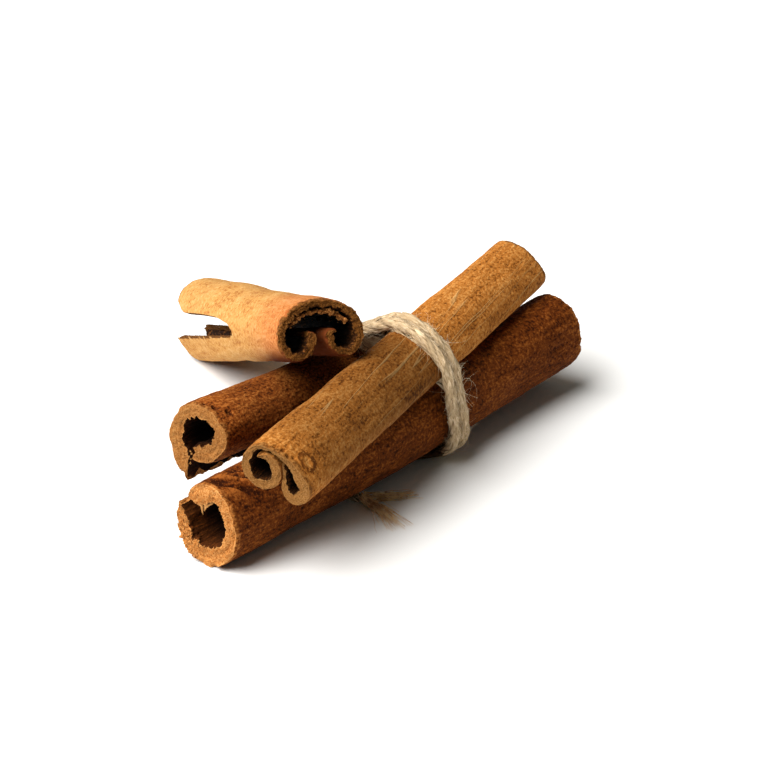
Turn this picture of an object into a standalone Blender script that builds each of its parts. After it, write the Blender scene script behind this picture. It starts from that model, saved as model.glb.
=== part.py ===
"""A small stack of cinnamon sticks: three tied with twine, and a loose one that leans on them.

Each stick is a rolled sheet of bark. Its cut face is drawn as a line along the sheet, made of elliptical
arcs, given the thickness of the bark to both sides, and lofted from the near end to the far end.
Lengths inside the shape functions are millimetres; MM turns them into metres where a mesh is made.
The front stick lies along X with its near end at -X, and the stack stands on Z = 0.
"""
import math

import bmesh
import bpy
from mathutils import Vector

MM = 0.001
GAP = 0.3  # left between pieces that touch

# Near and far end of each stick's axis, before the stack is centred.
FRONT_AXIS = ((-60.4, -18.9, 6.65), (16.9, -19.5, 8.8))
BACK_AXIS = ((-48.3, -6.4, 12.3), (18.3, -7.5, 7.7))
TOP_AXIS = ((-58.9, -30.6, 17.7), (15.8, -13.6, 18.5))
LOOSE_AXIS = ((-34.6, -17.2, 26.6), (-7.5, 27.7, 2.9))

# How far the bark reaches to both sides of the line that its roll is drawn with, as (share of the line,
# millimetres). The back stick's line is its outer side, and the others' run inside the bark.
FRONT_OUTSIDE = ((0.0, 1.05), (0.93, 1.05), (1.0, 0.8))
FRONT_INSIDE = (
    (0.0, 1.0),
    (0.12, 1.1),
    (0.25, 1.8),
    (0.34, 2.15),
    (0.43, 1.95),
    (0.52, 1.25),
    (0.62, 1.05),
    (0.75, 1.3),
    (0.84, 1.8),
    (0.93, 2.3),
    (1.0, 1.5),
)
BACK_OUTSIDE = ((0.0, 0.0), (1.0, 0.0))
BACK_INSIDE = (
    (0.0, 2.3),
    (0.04, 2.6),
    (0.2, 2.5),
    (0.42, 2.1),
    (0.62, 2.3),
    (0.72, 2.6),
    (0.8, 2.75),
    (0.86, 3.2),
    (0.91, 3.4),
    (0.95, 2.6),
    (0.98, 1.2),
    (1.0, 0.3),
)
TOP_OUTSIDE = ((0.0, 0.25), (0.06, 0.6), (0.9, 0.6), (1.0, 0.2))
TOP_INSIDE = (
    (0.0, 0.25),
    (0.05, 0.6),
    (0.1, 1.05),
    (0.2, 0.85),
    (0.28, 0.9),
    (0.37, 0.75),
    (0.43, 0.4),
    (0.5, 0.15),
    (0.56, 0.3),
    (0.61, 0.6),
    (0.67, 1.0),
    (0.73, 1.25),
    (0.8, 1.45),
    (0.87, 0.75),
    (0.93, 0.4),
    (1.0, 0.15),
)
LOOSE_OUTSIDE = ((0.0, 0.3), (0.04, 0.6), (0.96, 0.6), (1.0, 0.3))
LOOSE_INSIDE = ((0.0, 0.3), (0.04, 0.55), (0.96, 0.55), (1.0, 0.3))
INNER_LAYER_SIDE = ((0.0, 0.35), (1.0, 0.35))

# The loose stick stands more open at its far end: width and height of its arch, radius of its curls.
LOOSE_NEAR = (5.95, 4.4, 2.5)
LOOSE_FAR = (7.0, 8.6, 2.2)
# What its two halves change in those: how much narrower each is, how far its curl stands from the middle
# and how deep it hangs, and how far down its tip sits and where the tip ends, in degrees.
LOOSE_LEFT_HALF = (0.3, 0.95, 2.95, 0.45, 95)
LOOSE_RIGHT_HALF = (0.0, 1.2, 3.05, 0.55, 55)
LOOSE_FAR_LEAN = 0.44  # how far its far end is cut off further out for each millimetre up
INNER_LAYER_REACH = 0.42  # share of the stick's length that the loosened inner layer runs in

# The slot in the loose stick's left wall, as distance from the far end and height above the axis.
SLOT_TOP = ((-6.0, 6.2), (0.0, 5.2), (7.0, 3.4), (24.0, 2.5), (30.5, 1.7), (33.0, 0.4))
SLOT_BOTTOM = ((32.6, 0.0), (6.0, 0.1), (-6.0, 0.3))
SLOT_SIDES = (-9.0, -3.2)  # how far the cut reaches, to the right of the axis

# The tie: turns of twine in a slanting plane, x + TIE_SLANT * z = TIE_PLACE.
TWINE = 1.8
TWINE_PRESSED = 1.4  # its thickness where a stick stands on it
TWINE_SPREAD = 2.4  # the widest it gets where it is pressed flat
TIE_PLACE = -11.9
TIE_SLANT = 0.285
TIE_PITCH = 2.05
TIE_GAP = 0.45  # wider than GAP, because the twine's segments cut across the round of a stick
TURNS = 2
TURN_STATIONS = 36

# The twine's end on the floor, from the tie to where it frays: (x, y, thickness).
TAIL = (
    (-14.4, -17.9, 1.3),
    (-15.8, -16.2, 1.6),
    (-18.6, -15.0, 1.8),
    (-21.6, -14.5, 1.8),
    (-24.8, -14.7, 1.8),
    (-27.7, -15.8, 1.5),
    (-29.8, -17.6, 0.8),
    (-31.1, -19.6, 0.5),
    (-31.6, -21.5, 0.6),
    (-31.5, -22.8, 1.2),
)
FRAYED_RIGHT = ((-30.4, -24.0, 0.9), (-29.4, -24.6, 1.3), (-27.4, -25.7, 1.3), (-25.4, -26.9, 0.7))
FRAYED_FRONT = ((-32.5, -24.4, 0.9), (-32.4, -26.2, 1.4), (-33.3, -28.8, 1.4), (-34.4, -31.4, 0.7))

STATIONS = 13  # cross-sections along a stick
ARC_STEP = 17.0  # degrees between points of an arc

COLOURS = {
    "dark_bark": (0.36, 0.15, 0.055, 1.0),
    "brown_bark": (0.42, 0.18, 0.065, 1.0),
    "golden_bark": (0.55, 0.29, 0.10, 1.0),
    "pale_bark": (0.68, 0.36, 0.13, 1.0),
    "inner_bark": (0.25, 0.11, 0.045, 1.0),
    "twine": (0.62, 0.53, 0.41, 1.0),
    "frayed_twine": (0.50, 0.38, 0.25, 1.0),
}


def clear_scene():
    for thing in list(bpy.data.objects):
        bpy.data.objects.remove(thing)


def material(name):
    found = bpy.data.materials.get(name)
    if found:
        return found
    made = bpy.data.materials.new(name)
    made.use_nodes = True
    shader = made.node_tree.nodes["Principled BSDF"]
    shader.inputs["Base Color"].default_value = COLOURS[name]
    shader.inputs["Roughness"].default_value = 0.85
    shader.inputs["Metallic"].default_value = 0.0
    return made


# Cut faces, seen from the near end: the first number is to the right, the second is up.


def arc(centre, radii, start, stop, end_radii=None):
    """Points of an elliptical arc between two angles in degrees; the radii may change on the way."""
    end_radii = end_radii or radii
    steps = max(2, round(abs(stop - start) / ARC_STEP))
    points = []
    for i in range(steps + 1):
        share = i / steps
        angle = math.radians(start + (stop - start) * share)
        across = radii[0] + (end_radii[0] - radii[0]) * share
        up = radii[1] + (end_radii[1] - radii[1]) * share
        points.append((centre[0] + across * math.cos(angle), centre[1] + up * math.sin(angle)))
    return points


def joined(first, *others):
    """The arcs as one line; each begins where the one before it ends, so its own start is dropped."""
    line = list(first)
    for points in others:
        line += points[1:]
    return line


def front_roll():
    """One thick turn; its outer edge is at the upper left and its inner edge tucks in behind it."""
    centre, radii = (-0.35, 0.1), (4.65, 5.8)
    return joined(arc(centre, radii, 166, 425), arc(centre, radii, 425, 506, (3.7, 4.7)))


def back_roll():
    """A ring that closes on itself below, and whose outer edge hangs down as a lip."""
    below = arc((0.3, 0.1), (5.0, 4.75), -108, 0, (5.0, 3.6))
    above = arc((0.0, 0.1), (5.3, 4.15), 0, 150)
    lip = arc((-0.6, -1.8), (5.25, 6.3), 152, 255)
    return joined(below, above, lip)


def top_roll():
    """A double scroll: a curl on the left, an arch over it and a smaller curl on the right."""
    left_curl = arc((-2.25, 0.45), (1.75, 1.75), 118, -262, (3.0, 3.05))
    arch = arc((-2.9, -2.6), (7.3, 6.2), 86, 24)
    right_curl = arc((2.7, -1.5), (1.7, 1.75), 34, -165)
    return joined(left_curl, arch, right_curl) + [(1.0, -1.2), (1.15, -0.2), (1.15, 0.7), (0.7, 1.9)]


def loose_half(sizes, narrower, curl_start, curl_depth, tip_drop, tip_stop):
    """The right half of the loose stick: from the top of the arch round to the tip of the curl."""
    arch_width, arch_height, curl_radius = sizes
    arch = arc((0.0, -0.4), (arch_width - narrower, arch_height), 90, 0)
    radius = (0.95 + 2 * curl_radius - narrower - curl_start) / 2
    curl = arc((curl_start + radius, -0.4), (radius, curl_depth), 0, -172)
    tip = arc((curl_start + 0.72, -0.4 - tip_drop), (0.75, 0.75), 172, tip_stop)
    return joined(arch[:-1] + curl, tip)


def loose_roll(sizes):
    """Two curls that meet below, under one wide arch."""
    left = loose_half(sizes, *LOOSE_LEFT_HALF)
    return [(-across, up) for across, up in left[:0:-1]] + loose_half(sizes, *LOOSE_RIGHT_HALF)


def inner_arch(sizes):
    """The loosened inner layer, which follows the arch of the loose stick from inside."""
    inset = LOOSE_INSIDE[1][1] + INNER_LAYER_SIDE[0][1] + GAP + 0.1
    return arc((0.0, -0.4), (sizes[0] - inset, sizes[1] - inset), 22, 148)


def read_off(stops, share):
    """The value between the stops at a share."""
    for (start, low), (stop, high) in zip(stops, stops[1:]):
        if share <= stop:
            return low + (high - low) * (share - start) / (stop - start)
    return stops[-1][1]


def outline(line, outside, inside, turns_left):
    """The closed outline of a sheet: the outer side of its line, and back along the inner side."""
    steps = [math.dist(a, b) for a, b in zip(line, line[1:])]
    outer, inner = [], []
    for i, point in enumerate(line):
        before, after = line[max(i - 1, 0)], line[min(i + 1, len(line) - 1)]
        along = Vector((after[0] - before[0], after[1] - before[1])).normalized()
        out = Vector((along.y, -along.x)) if turns_left else Vector((-along.y, along.x))
        share = min(1.0, sum(steps[:i]) / sum(steps))
        outer.append(Vector(point) + out * read_off(outside, share))
        inner.append(Vector(point) - out * read_off(inside, share))
    return outer + inner[::-1]


# Sticks.


class Stick:
    """An axis, and a cut face that is scaled, turned and bent on its way to the far end."""

    def __init__(
        self, axis, near_face, far_face=None, far_scale=(1.0, 1.0), roll=0.0, twist=0.0, bow=0.0, lean=0.0
    ):
        self.near, self.far = Vector(axis[0]), Vector(axis[1])
        self.length = (self.far - self.near).length
        self.along = (self.far - self.near).normalized()
        self.right = self.along.cross(Vector((0, 0, 1))).normalized()
        self.up = self.right.cross(self.along)
        self.near_face, self.far_face = near_face, far_face or near_face
        self.far_scale, self.roll, self.twist, self.bow, self.lean = far_scale, roll, twist, bow, lean

    def centre(self, share):
        return self.near.lerp(self.far, share) + self.right * (self.bow * 4 * share * (1 - share))

    def ring(self, share):
        """The outline of the stick at a share of its length."""
        waver = 1 + 0.018 * math.sin(9.0 * share + self.roll + 1.0) + 0.01 * math.sin(21.0 * share)
        turn = math.radians(self.roll + self.twist * share)
        placed = []
        for near_spot, far_spot in zip(self.near_face, self.far_face):
            flat = near_spot.lerp(far_spot, share) * waver
            across = flat.x * (1 + (self.far_scale[0] - 1) * share)
            up = flat.y * (1 + (self.far_scale[1] - 1) * share)
            right = across * math.cos(turn) - up * math.sin(turn)
            rise = across * math.sin(turn) + up * math.cos(turn)
            ahead = self.along * (self.lean * share * rise)
            placed.append(self.centre(share) + self.right * right + self.up * rise + ahead)
        return placed

    def rings(self, stations=STATIONS, start=0.0, stop=1.0):
        return [self.ring(start + (stop - start) * i / (stations - 1)) for i in range(stations)]


def lofted(rings):
    """The rings skinned, and each end closed by quads across the sheet."""
    shape = bmesh.new()
    rings = [[shape.verts.new(p * MM) for p in ring] for ring in rings]
    count = len(rings[0])
    for a, b in zip(rings, rings[1:]):
        for i in range(count):
            j = (i + 1) % count
            shape.faces.new((a[i], a[j], b[j], b[i]))
    for ring in (rings[0], rings[-1]):
        for i in range(count // 2 - 1):
            shape.faces.new((ring[i], ring[i + 1], ring[count - 2 - i], ring[count - 1 - i]))
    return shape


def stand(shape):
    """Presses whatever reaches below the floor into a small flat spot."""
    for vert in shape.verts:
        vert.co.z = max(vert.co.z, 0.0)


def add_object(name, shape, stack):
    """A closed mesh as a named object of the stack, with its faces outwards."""
    bmesh.ops.recalc_face_normals(shape, faces=shape.faces)
    mesh = bpy.data.meshes.new(name)
    shape.to_mesh(mesh)
    shape.free()
    made = bpy.data.objects.new(name, mesh)
    bpy.context.collection.objects.link(made)
    made.parent = stack
    return made


def add_piece(name, shape, colour, stack, sharp=50):
    stand(shape)
    made = add_object(name, shape, stack)
    made.data.materials.append(material(colour))
    made.data.shade_smooth()
    made.data.set_sharp_from_angle(angle=math.radians(sharp))
    return made


def slot_cutter(stick, stack):
    """A prism through the left wall of the loose stick, open at its far end."""
    shape = bmesh.new()
    faces = []
    for side in SLOT_SIDES:
        face = []
        for distance, height in SLOT_TOP + SLOT_BOTTOM:
            place = stick.far - stick.along * distance + stick.right * side + stick.up * height
            face.append(shape.verts.new(place * MM))
        faces.append(face)
    left, right = faces
    shape.faces.new(left)
    shape.faces.new(right)
    for i in range(len(left)):
        j = (i + 1) % len(left)
        shape.faces.new((left[i], left[j], right[j], right[i]))
    made = add_object("slot_cutter", shape, stack)
    made.hide_render = True
    made.display_type = "WIRE"
    return made


def cut(target, cutter):
    difference = target.modifiers.new("cut", "BOOLEAN")
    difference.object = cutter
    difference.operation = "DIFFERENCE"
    difference.solver = "EXACT"


# Twine. Its stations are (centre, outward direction, thickness, width).


def crossings(rings, place):
    """Where the lengthwise lines of a stick pass through the plane x + TIE_SLANT * z = place."""
    found = []
    for i in range(len(rings[0])):
        for a, b in zip(rings, rings[1:]):
            low = a[i].x + TIE_SLANT * a[i].z - place
            high = b[i].x + TIE_SLANT * b[i].z - place
            if low <= 0 < high:
                point = a[i].lerp(b[i], -low / (high - low))
                found.append((point.y, point.z))
    return found


def half_hull(points):
    chain = []
    for p in points:
        while len(chain) > 1:
            (ax, ay), (bx, by) = chain[-2], chain[-1]
            if (bx - ax) * (p[1] - ay) - (by - ay) * (p[0] - ax) > 0:
                break
            chain.pop()
        chain.append(p)
    return chain[:-1]


def hull(points):
    """The convex outline of flat points, counterclockwise."""
    points = sorted(set(points))
    return half_hull(points) + half_hull(reversed(points))


def spaced(points, count):
    """Evenly spaced points round a closed outline."""
    sides = [math.dist(a, b) for a, b in zip(points, points[1:] + points[:1])]
    step, spots = sum(sides) / count, []
    for k in range(count):
        left = k * step
        for i, side in enumerate(sides):
            if left <= side:
                a, b = points[i], points[(i + 1) % len(points)]
                spots.append((a[0] + (b[0] - a[0]) * left / side, a[1] + (b[1] - a[1]) * left / side))
                break
            left -= side
    return spots


def spot_towards(points, centre, angle):
    """Where a ray from the centre meets the closed outline."""
    ray = Vector((math.cos(angle), math.sin(angle)))
    for a, b in zip(points, points[1:] + points[:1]):
        a, b = Vector(a) - centre, Vector(b) - centre
        side_a, side_b = ray.x * a.y - ray.y * a.x, ray.x * b.y - ray.y * b.x
        if side_a <= 0 < side_b:
            return centre + a.lerp(b, -side_a / (side_b - side_a))
    raise ValueError("the centre is not inside the outline")


def turns_round(sticks):
    """The turns of the tie, from below the front stick towards the back stick and round again."""
    rings = [stick.rings() for stick in sticks]
    boundary = hull([p for ring in rings for p in crossings(ring, TIE_PLACE)])
    ring = spaced(boundary, TURN_STATIONS)
    centre = sum((Vector(p) for p in ring), Vector((0, 0))) / TURN_STATIONS
    lowest = min(range(TURN_STATIONS), key=lambda i: ring[i][1])
    angles = [math.atan2(p[1] - centre.y, p[0] - centre.x) for p in ring[lowest:] + ring[:lowest]]
    spots = []
    for k in range(-1, TURNS * TURN_STATIONS + 2):
        place = TIE_PLACE + TIE_PITCH * (TURNS / 2 - k / TURN_STATIONS)
        boundary = hull([p for ring in rings for p in crossings(ring, place)])
        spots.append((place, spot_towards(boundary, centre, angles[k % TURN_STATIONS])))
    path = []
    for (_, before), (place, here), (_, after) in zip(spots, spots[1:], spots[2:]):
        out = Vector((after.y - before.y, before.x - after.x)).normalized()
        thickness = TWINE_PRESSED if out.y < -0.3 and here.y < 3.0 else TWINE
        y, z = here + out * (thickness / 2 + TIE_GAP)
        outward = Vector((-TIE_SLANT * out.y, out.x, out.y)).normalized()
        path.append((Vector((place - TIE_SLANT * z, y, z)), outward, thickness, TWINE))
    return path


def on_floor(points):
    """Stations of twine that lies on the floor and widens where it is pressed thin."""
    down = Vector((0, 0, -1))
    return [(Vector((x, y, t / 2)), down, t, min(TWINE ** 2 / t, TWINE_SPREAD)) for x, y, t in points]


def tube(path, sides=8):
    """A closed tube round the stations of a path."""
    rings = []
    for i, (centre, out, thickness, width) in enumerate(path):
        along = (path[min(i + 1, len(path) - 1)][0] - path[max(i - 1, 0)][0]).normalized()
        side = along.cross(out).normalized()
        out = side.cross(along)
        ring = []
        for k in range(sides):
            angle = math.tau * (k + 0.5) / sides
            ring.append(
                centre + out * (thickness / 2 * math.cos(angle)) + side * (width / 2 * math.sin(angle))
            )
        rings.append(ring)
    return lofted(rings)


def centre_stack(stack, pieces):
    """Moves the whole stack so that its box is centred on X = 0 and Y = 0."""
    spots = [vert.co for piece in pieces for vert in piece.data.vertices]
    for axis in (0, 1):
        places = [spot[axis] for spot in spots]
        stack.location[axis] = -(min(places) + max(places)) / 2


def build():
    clear_scene()
    stack = bpy.data.objects.new("stack", None)
    bpy.context.collection.objects.link(stack)

    front_face = outline(front_roll(), FRONT_OUTSIDE, FRONT_INSIDE, True)
    back_face = outline(back_roll(), BACK_OUTSIDE, BACK_INSIDE, True)
    top_face = outline(top_roll(), TOP_OUTSIDE, TOP_INSIDE, False)
    ends = (LOOSE_NEAR, LOOSE_FAR)
    loose_faces = [outline(loose_roll(end), LOOSE_OUTSIDE, LOOSE_INSIDE, False) for end in ends]
    layer_faces = [outline(inner_arch(end), INNER_LAYER_SIDE, INNER_LAYER_SIDE, True) for end in ends]
    front = Stick(FRONT_AXIS, front_face, far_scale=(1.04, 0.94), roll=-4, bow=0.8)
    back = Stick(BACK_AXIS, back_face, far_scale=(0.92, 0.93), twist=-4)
    top = Stick(TOP_AXIS, top_face, far_scale=(0.85, 0.91), twist=6)
    loose = Stick(LOOSE_AXIS, *loose_faces, lean=LOOSE_FAR_LEAN)
    layer = Stick(LOOSE_AXIS, *layer_faces, lean=LOOSE_FAR_LEAN)
    twine = turns_round((front, back, top)) + on_floor(TAIL)

    pieces = [
        add_piece("front_stick", lofted(front.rings()), "dark_bark", stack),
        add_piece("back_stick", lofted(back.rings()), "brown_bark", stack),
        add_piece("top_stick", lofted(top.rings()), "golden_bark", stack),
        add_piece("loose_stick", lofted(loose.rings()), "pale_bark", stack),
        add_piece(
            "loose_stick_inner_layer",
            lofted(layer.rings(stations=6, start=0.015, stop=INNER_LAYER_REACH)),
            "inner_bark",
            stack,
        ),
        add_piece("twine_tie", tube(twine), "twine", stack),
        add_piece("twine_end_right", tube(on_floor(FRAYED_RIGHT)), "frayed_twine", stack),
        add_piece("twine_end_front", tube(on_floor(FRAYED_FRONT)), "frayed_twine", stack),
    ]
    cut(pieces[3], slot_cutter(loose, stack))
    centre_stack(stack, pieces)


build()
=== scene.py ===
"""The looks of a small stack of cinnamon sticks: three tied with twine, and a loose one that leans on them.

Each stick is modelled as the bark it is: a flat sheet, cut fine, is given its relief and its torn edges
and is then rolled up round the stick's axis. The twine is three twisted plies with loose hairs.
Lengths inside the shape functions are millimetres; MM turns them into metres where a mesh is made.
"""
import math

import bmesh
import bpy
import numpy as np
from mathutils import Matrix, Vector, geometry


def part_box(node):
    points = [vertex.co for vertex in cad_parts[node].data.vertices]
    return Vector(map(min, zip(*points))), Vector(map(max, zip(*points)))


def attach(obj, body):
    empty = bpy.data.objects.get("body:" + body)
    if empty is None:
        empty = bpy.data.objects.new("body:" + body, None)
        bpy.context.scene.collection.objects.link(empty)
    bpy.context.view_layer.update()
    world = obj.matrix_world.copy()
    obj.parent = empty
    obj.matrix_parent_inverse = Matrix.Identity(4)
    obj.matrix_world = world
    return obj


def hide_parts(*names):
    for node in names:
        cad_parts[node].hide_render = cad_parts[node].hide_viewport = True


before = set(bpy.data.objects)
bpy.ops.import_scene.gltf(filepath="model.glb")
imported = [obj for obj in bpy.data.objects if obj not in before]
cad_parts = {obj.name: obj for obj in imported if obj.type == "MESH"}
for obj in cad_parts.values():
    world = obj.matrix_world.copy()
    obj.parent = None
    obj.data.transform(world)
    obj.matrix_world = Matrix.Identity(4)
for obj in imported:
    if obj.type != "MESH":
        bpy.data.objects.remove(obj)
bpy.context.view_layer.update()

MM = 0.001

# Near and far end of each stick's axis, before the stack is centred.
FRONT_AXIS = ((-60.4, -18.9, 6.65), (16.9, -19.5, 8.8))
BACK_AXIS = ((-48.3, -6.4, 12.3), (18.3, -7.5, 7.7))
TOP_AXIS = ((-58.9, -30.6, 17.7), (15.8, -13.6, 18.5))
LOOSE_AXIS = ((-34.6, -17.2, 26.6), (-7.5, 27.7, 2.9))

GAP = 0.3  # left between the loose stick and its loosened inner layer

# How far the bark reaches to both sides of the line that its roll is drawn with, as (share of the line,
# millimetres). The back stick's line is its outer side, and the others' run inside the bark.
FRONT_OUTSIDE = ((0.0, 1.05), (0.93, 1.05), (1.0, 0.8))
FRONT_INSIDE = (
    (0.0, 0.0),
    (0.03, 0.1),
    (0.06, 1.0),
    (0.12, 1.1),
    (0.25, 1.8),
    (0.34, 2.15),
    (0.43, 1.95),
    (0.52, 1.25),
    (0.62, 1.05),
    (0.75, 1.3),
    (0.84, 1.8),
    (0.93, 2.3),
    (1.0, 1.5),
)
BACK_OUTSIDE = ((0.0, 0.0), (1.0, 0.0))
BACK_INSIDE = (
    (0.0, 2.3),
    (0.04, 2.6),
    (0.2, 2.5),
    (0.42, 2.1),
    (0.62, 2.3),
    (0.72, 2.6),
    (0.8, 2.75),
    (0.86, 3.2),
    (0.91, 3.4),
    (0.95, 2.6),
    (0.98, 1.2),
    (1.0, 0.3),
)
TOP_OUTSIDE = ((0.0, 0.25), (0.06, 0.6), (0.9, 0.6), (1.0, 0.2))
TOP_INSIDE = (
    (0.0, 0.25),
    (0.05, 0.6),
    (0.1, 1.05),
    (0.2, 0.85),
    (0.28, 0.9),
    (0.37, 0.75),
    (0.43, 0.4),
    (0.5, 0.15),
    (0.56, 0.3),
    (0.61, 0.6),
    (0.67, 1.0),
    (0.73, 1.25),
    (0.8, 1.45),
    (0.87, 0.75),
    (0.93, 0.4),
    (1.0, 0.15),
)
LOOSE_OUTSIDE = ((0.0, 0.3), (0.04, 0.6), (0.96, 0.6), (1.0, 0.3))
LOOSE_INSIDE = ((0.0, 0.3), (0.04, 0.55), (0.96, 0.55), (1.0, 0.3))
INNER_LAYER_SIDE = ((0.0, 0.35), (1.0, 0.35))

# The loose stick stands more open at its far end: width and height of its arch, radius of its curls.
LOOSE_NEAR = (5.95, 4.4, 2.5)
LOOSE_FAR = (7.0, 8.6, 2.2)
# What its two halves change in those: how much narrower each is, how far its curl stands from the middle
# and how deep it hangs, and how far down its tip sits and where the tip ends, in degrees.
LOOSE_LEFT_HALF = (0.3, 0.95, 2.95, 0.45, 95)
LOOSE_RIGHT_HALF = (0.0, 1.2, 3.05, 0.55, 55)
LOOSE_FAR_LEAN = 0.44
LOOSE_FAR_TIP_RISE = 1.3  # how much higher the left curl ends at the far end
INNER_LAYER_START = 0.015
INNER_LAYER_REACH = 0.42

# The slot in the loose stick's left wall, as distance from the far end and height above the axis.
SLOT_LENGTH = 32.8
SLOT_TOP = ((0.0, 5.2), (7.0, 3.4), (24.0, 2.5), (30.5, 1.7), (32.8, 0.9))
SLOT_BOTTOM = ((0.0, 0.2), (6.0, 0.1), (30.0, 0.0), (32.8, 0.2))

# The tie: turns of twine in a slanting plane, x + TIE_SLANT * z = TIE_PLACE.
TWINE = 1.8
TWINE_PRESSED = 1.4
TWINE_SPREAD = 2.4
TIE_PLACE = -11.9
TIE_SLANT = 0.285
TIE_PITCH = 2.05
TIE_GAP = 0.3
TURNS = 2
TURN_STATIONS = 72

# The twine's end on the floor, from the tie to where it frays: (x, y, thickness).
TAIL = (
    (-14.4, -17.9, 1.3),
    (-15.8, -16.2, 1.6),
    (-18.6, -15.0, 1.8),
    (-21.6, -14.5, 1.8),
    (-24.8, -14.7, 1.8),
    (-27.7, -15.8, 1.5),
    (-29.8, -17.6, 0.8),
    (-31.1, -19.6, 0.5),
    (-31.6, -21.5, 0.6),
    (-31.5, -22.8, 1.2),
)
FRAYED_RIGHT = (
    (-31.5, -22.8, 0.9),
    (-30.4, -24.0, 1.0),
    (-29.4, -24.6, 1.3),
    (-27.4, -25.7, 1.3),
    (-25.4, -26.9, 0.7),
)
FRAYED_FRONT = (
    (-31.9, -22.8, 0.9),
    (-32.5, -24.4, 1.0),
    (-32.4, -26.2, 1.4),
    (-33.3, -28.8, 1.4),
    (-34.4, -31.4, 0.7),
)


# Rough surfaces.


def rough(places, size, seed=0, octaves=1):
    """Smooth random relief between -1 and 1 at places given in millimetres; size is that of one bump."""
    places = np.asarray(places, float) / np.asarray(size, float)
    lattice = np.random.default_rng(seed).random(4096) * 2 - 1
    total = np.zeros(len(places))
    strength = 1.0
    for octave in range(octaves):
        scaled = places * 2.0**octave + 17.3 * octave
        cell = np.floor(scaled).astype(np.int64)
        part = scaled - cell
        part = part * part * (3 - 2 * part)
        for corner in range(8):
            step = np.array([corner & 1, corner >> 1 & 1, corner >> 2])
            at = cell + step
            index = (at[:, 0] * 73856093 ^ at[:, 1] * 19349663 ^ at[:, 2] * 83492791) & 4095
            weight = np.prod(np.where(step, part, 1 - part), axis=1)
            total += strength * weight * lattice[index]
        strength /= 2
    return total


def fade(distance, reach):
    """1 at the edge, falling smoothly to 0 at the reach."""
    left = np.clip(1 - distance / reach, 0, 1)
    return left * left * (3 - 2 * left)


def bell(values, middle, width):
    return np.exp(-(((values - middle) / width) ** 2))


# Cut faces, seen from the near end: the first number is to the right, the second is up.


def arc(centre, radii, start, stop, end_radii=None):
    end_radii = end_radii or radii
    share = np.linspace(0, 1, max(3, round(abs(stop - start) / 3)))
    angle = np.radians(start + (stop - start) * share)
    across = radii[0] + (end_radii[0] - radii[0]) * share
    up = radii[1] + (end_radii[1] - radii[1]) * share
    return np.stack([centre[0] + across * np.cos(angle), centre[1] + up * np.sin(angle)], axis=1)


def straight(start, stop, count=12):
    return np.linspace(start, stop, count)


def joined(*lines):
    return np.concatenate([lines[0]] + [line[1:] for line in lines[1:]])


def eased(line, passes):
    """The line with its corners rounded off."""
    line = line.copy()
    for _ in range(passes):
        line[1:-1] = (line[:-2] + 2 * line[1:-1] + line[2:]) / 4
    return line


def front_roll():
    centre, radii = (-0.35, 0.1), (4.65, 5.8)
    return eased(joined(arc(centre, radii, 166, 425), arc(centre, radii, 425, 506, (3.7, 4.7))), 20)


def back_roll():
    below = arc((0.3, 0.1), (5.0, 4.75), -108, 0, (5.0, 3.6))
    above = arc((0.0, 0.1), (5.3, 4.15), 0, 150)
    lip = arc((-0.6, -1.8), (5.25, 6.3), 152, 255)
    return eased(joined(below, above, lip), 20)


def top_roll():
    left_curl = arc((-2.25, 0.45), (1.75, 1.75), 118, -262, (3.0, 3.05))
    arch = arc((-2.9, -2.6), (7.3, 6.2), 86, 24)
    right_curl = arc((2.7, -1.5), (1.7, 1.75), 34, -165)
    turns = [(1.03, -1.95), (1.0, -1.2), (1.15, -0.2), (1.15, 0.7), (0.7, 1.9)]
    tip = joined(*(straight(a, b, 6) for a, b in zip(turns, turns[1:])))
    return eased(joined(left_curl, arch, right_curl, tip), 14)


def loose_half(sizes, narrower, curl_start, curl_depth, tip_drop, tip_stop):
    arch_width, arch_height, curl_radius = sizes
    arch = arc((0.0, -0.4), (arch_width - narrower, arch_height), 90, 12)
    side = straight(arch[-1], (0.95 + 2 * curl_radius - narrower, -0.8), 6)
    radius = (0.95 + 2 * curl_radius - narrower - curl_start) / 2
    curl = arc((curl_start + radius, -0.4), (radius, curl_depth), -7, -172)
    tip = arc((curl_start + 0.72, -0.4 - tip_drop), (0.75, 0.75), 172, tip_stop)
    return joined(arch, side, curl, tip)


def loose_roll(sizes, tip_rise=0.0):
    narrower, curl_start, curl_depth, tip_drop, tip_stop = LOOSE_LEFT_HALF
    left = loose_half(sizes, narrower, curl_start, curl_depth, tip_drop - tip_rise, tip_stop)[:0:-1] * (-1, 1)
    return eased(np.concatenate([left, loose_half(sizes, *LOOSE_RIGHT_HALF)]), 30)


def inner_arch(sizes):
    inset = LOOSE_INSIDE[1][1] + INNER_LAYER_SIDE[0][1] + GAP + 0.1
    return arc((0.0, -0.4), (sizes[0] - inset, sizes[1] - inset), 22, 148)


# Sheets of bark.


SIDE_STOPS = np.linspace(0, 1, 240)


def side_reach(stops):
    """How far a side of the bark reaches from its line, as a smooth run over SIDE_STOPS."""
    return eased(np.interp(SIDE_STOPS, *zip(*stops)), 6)


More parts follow.
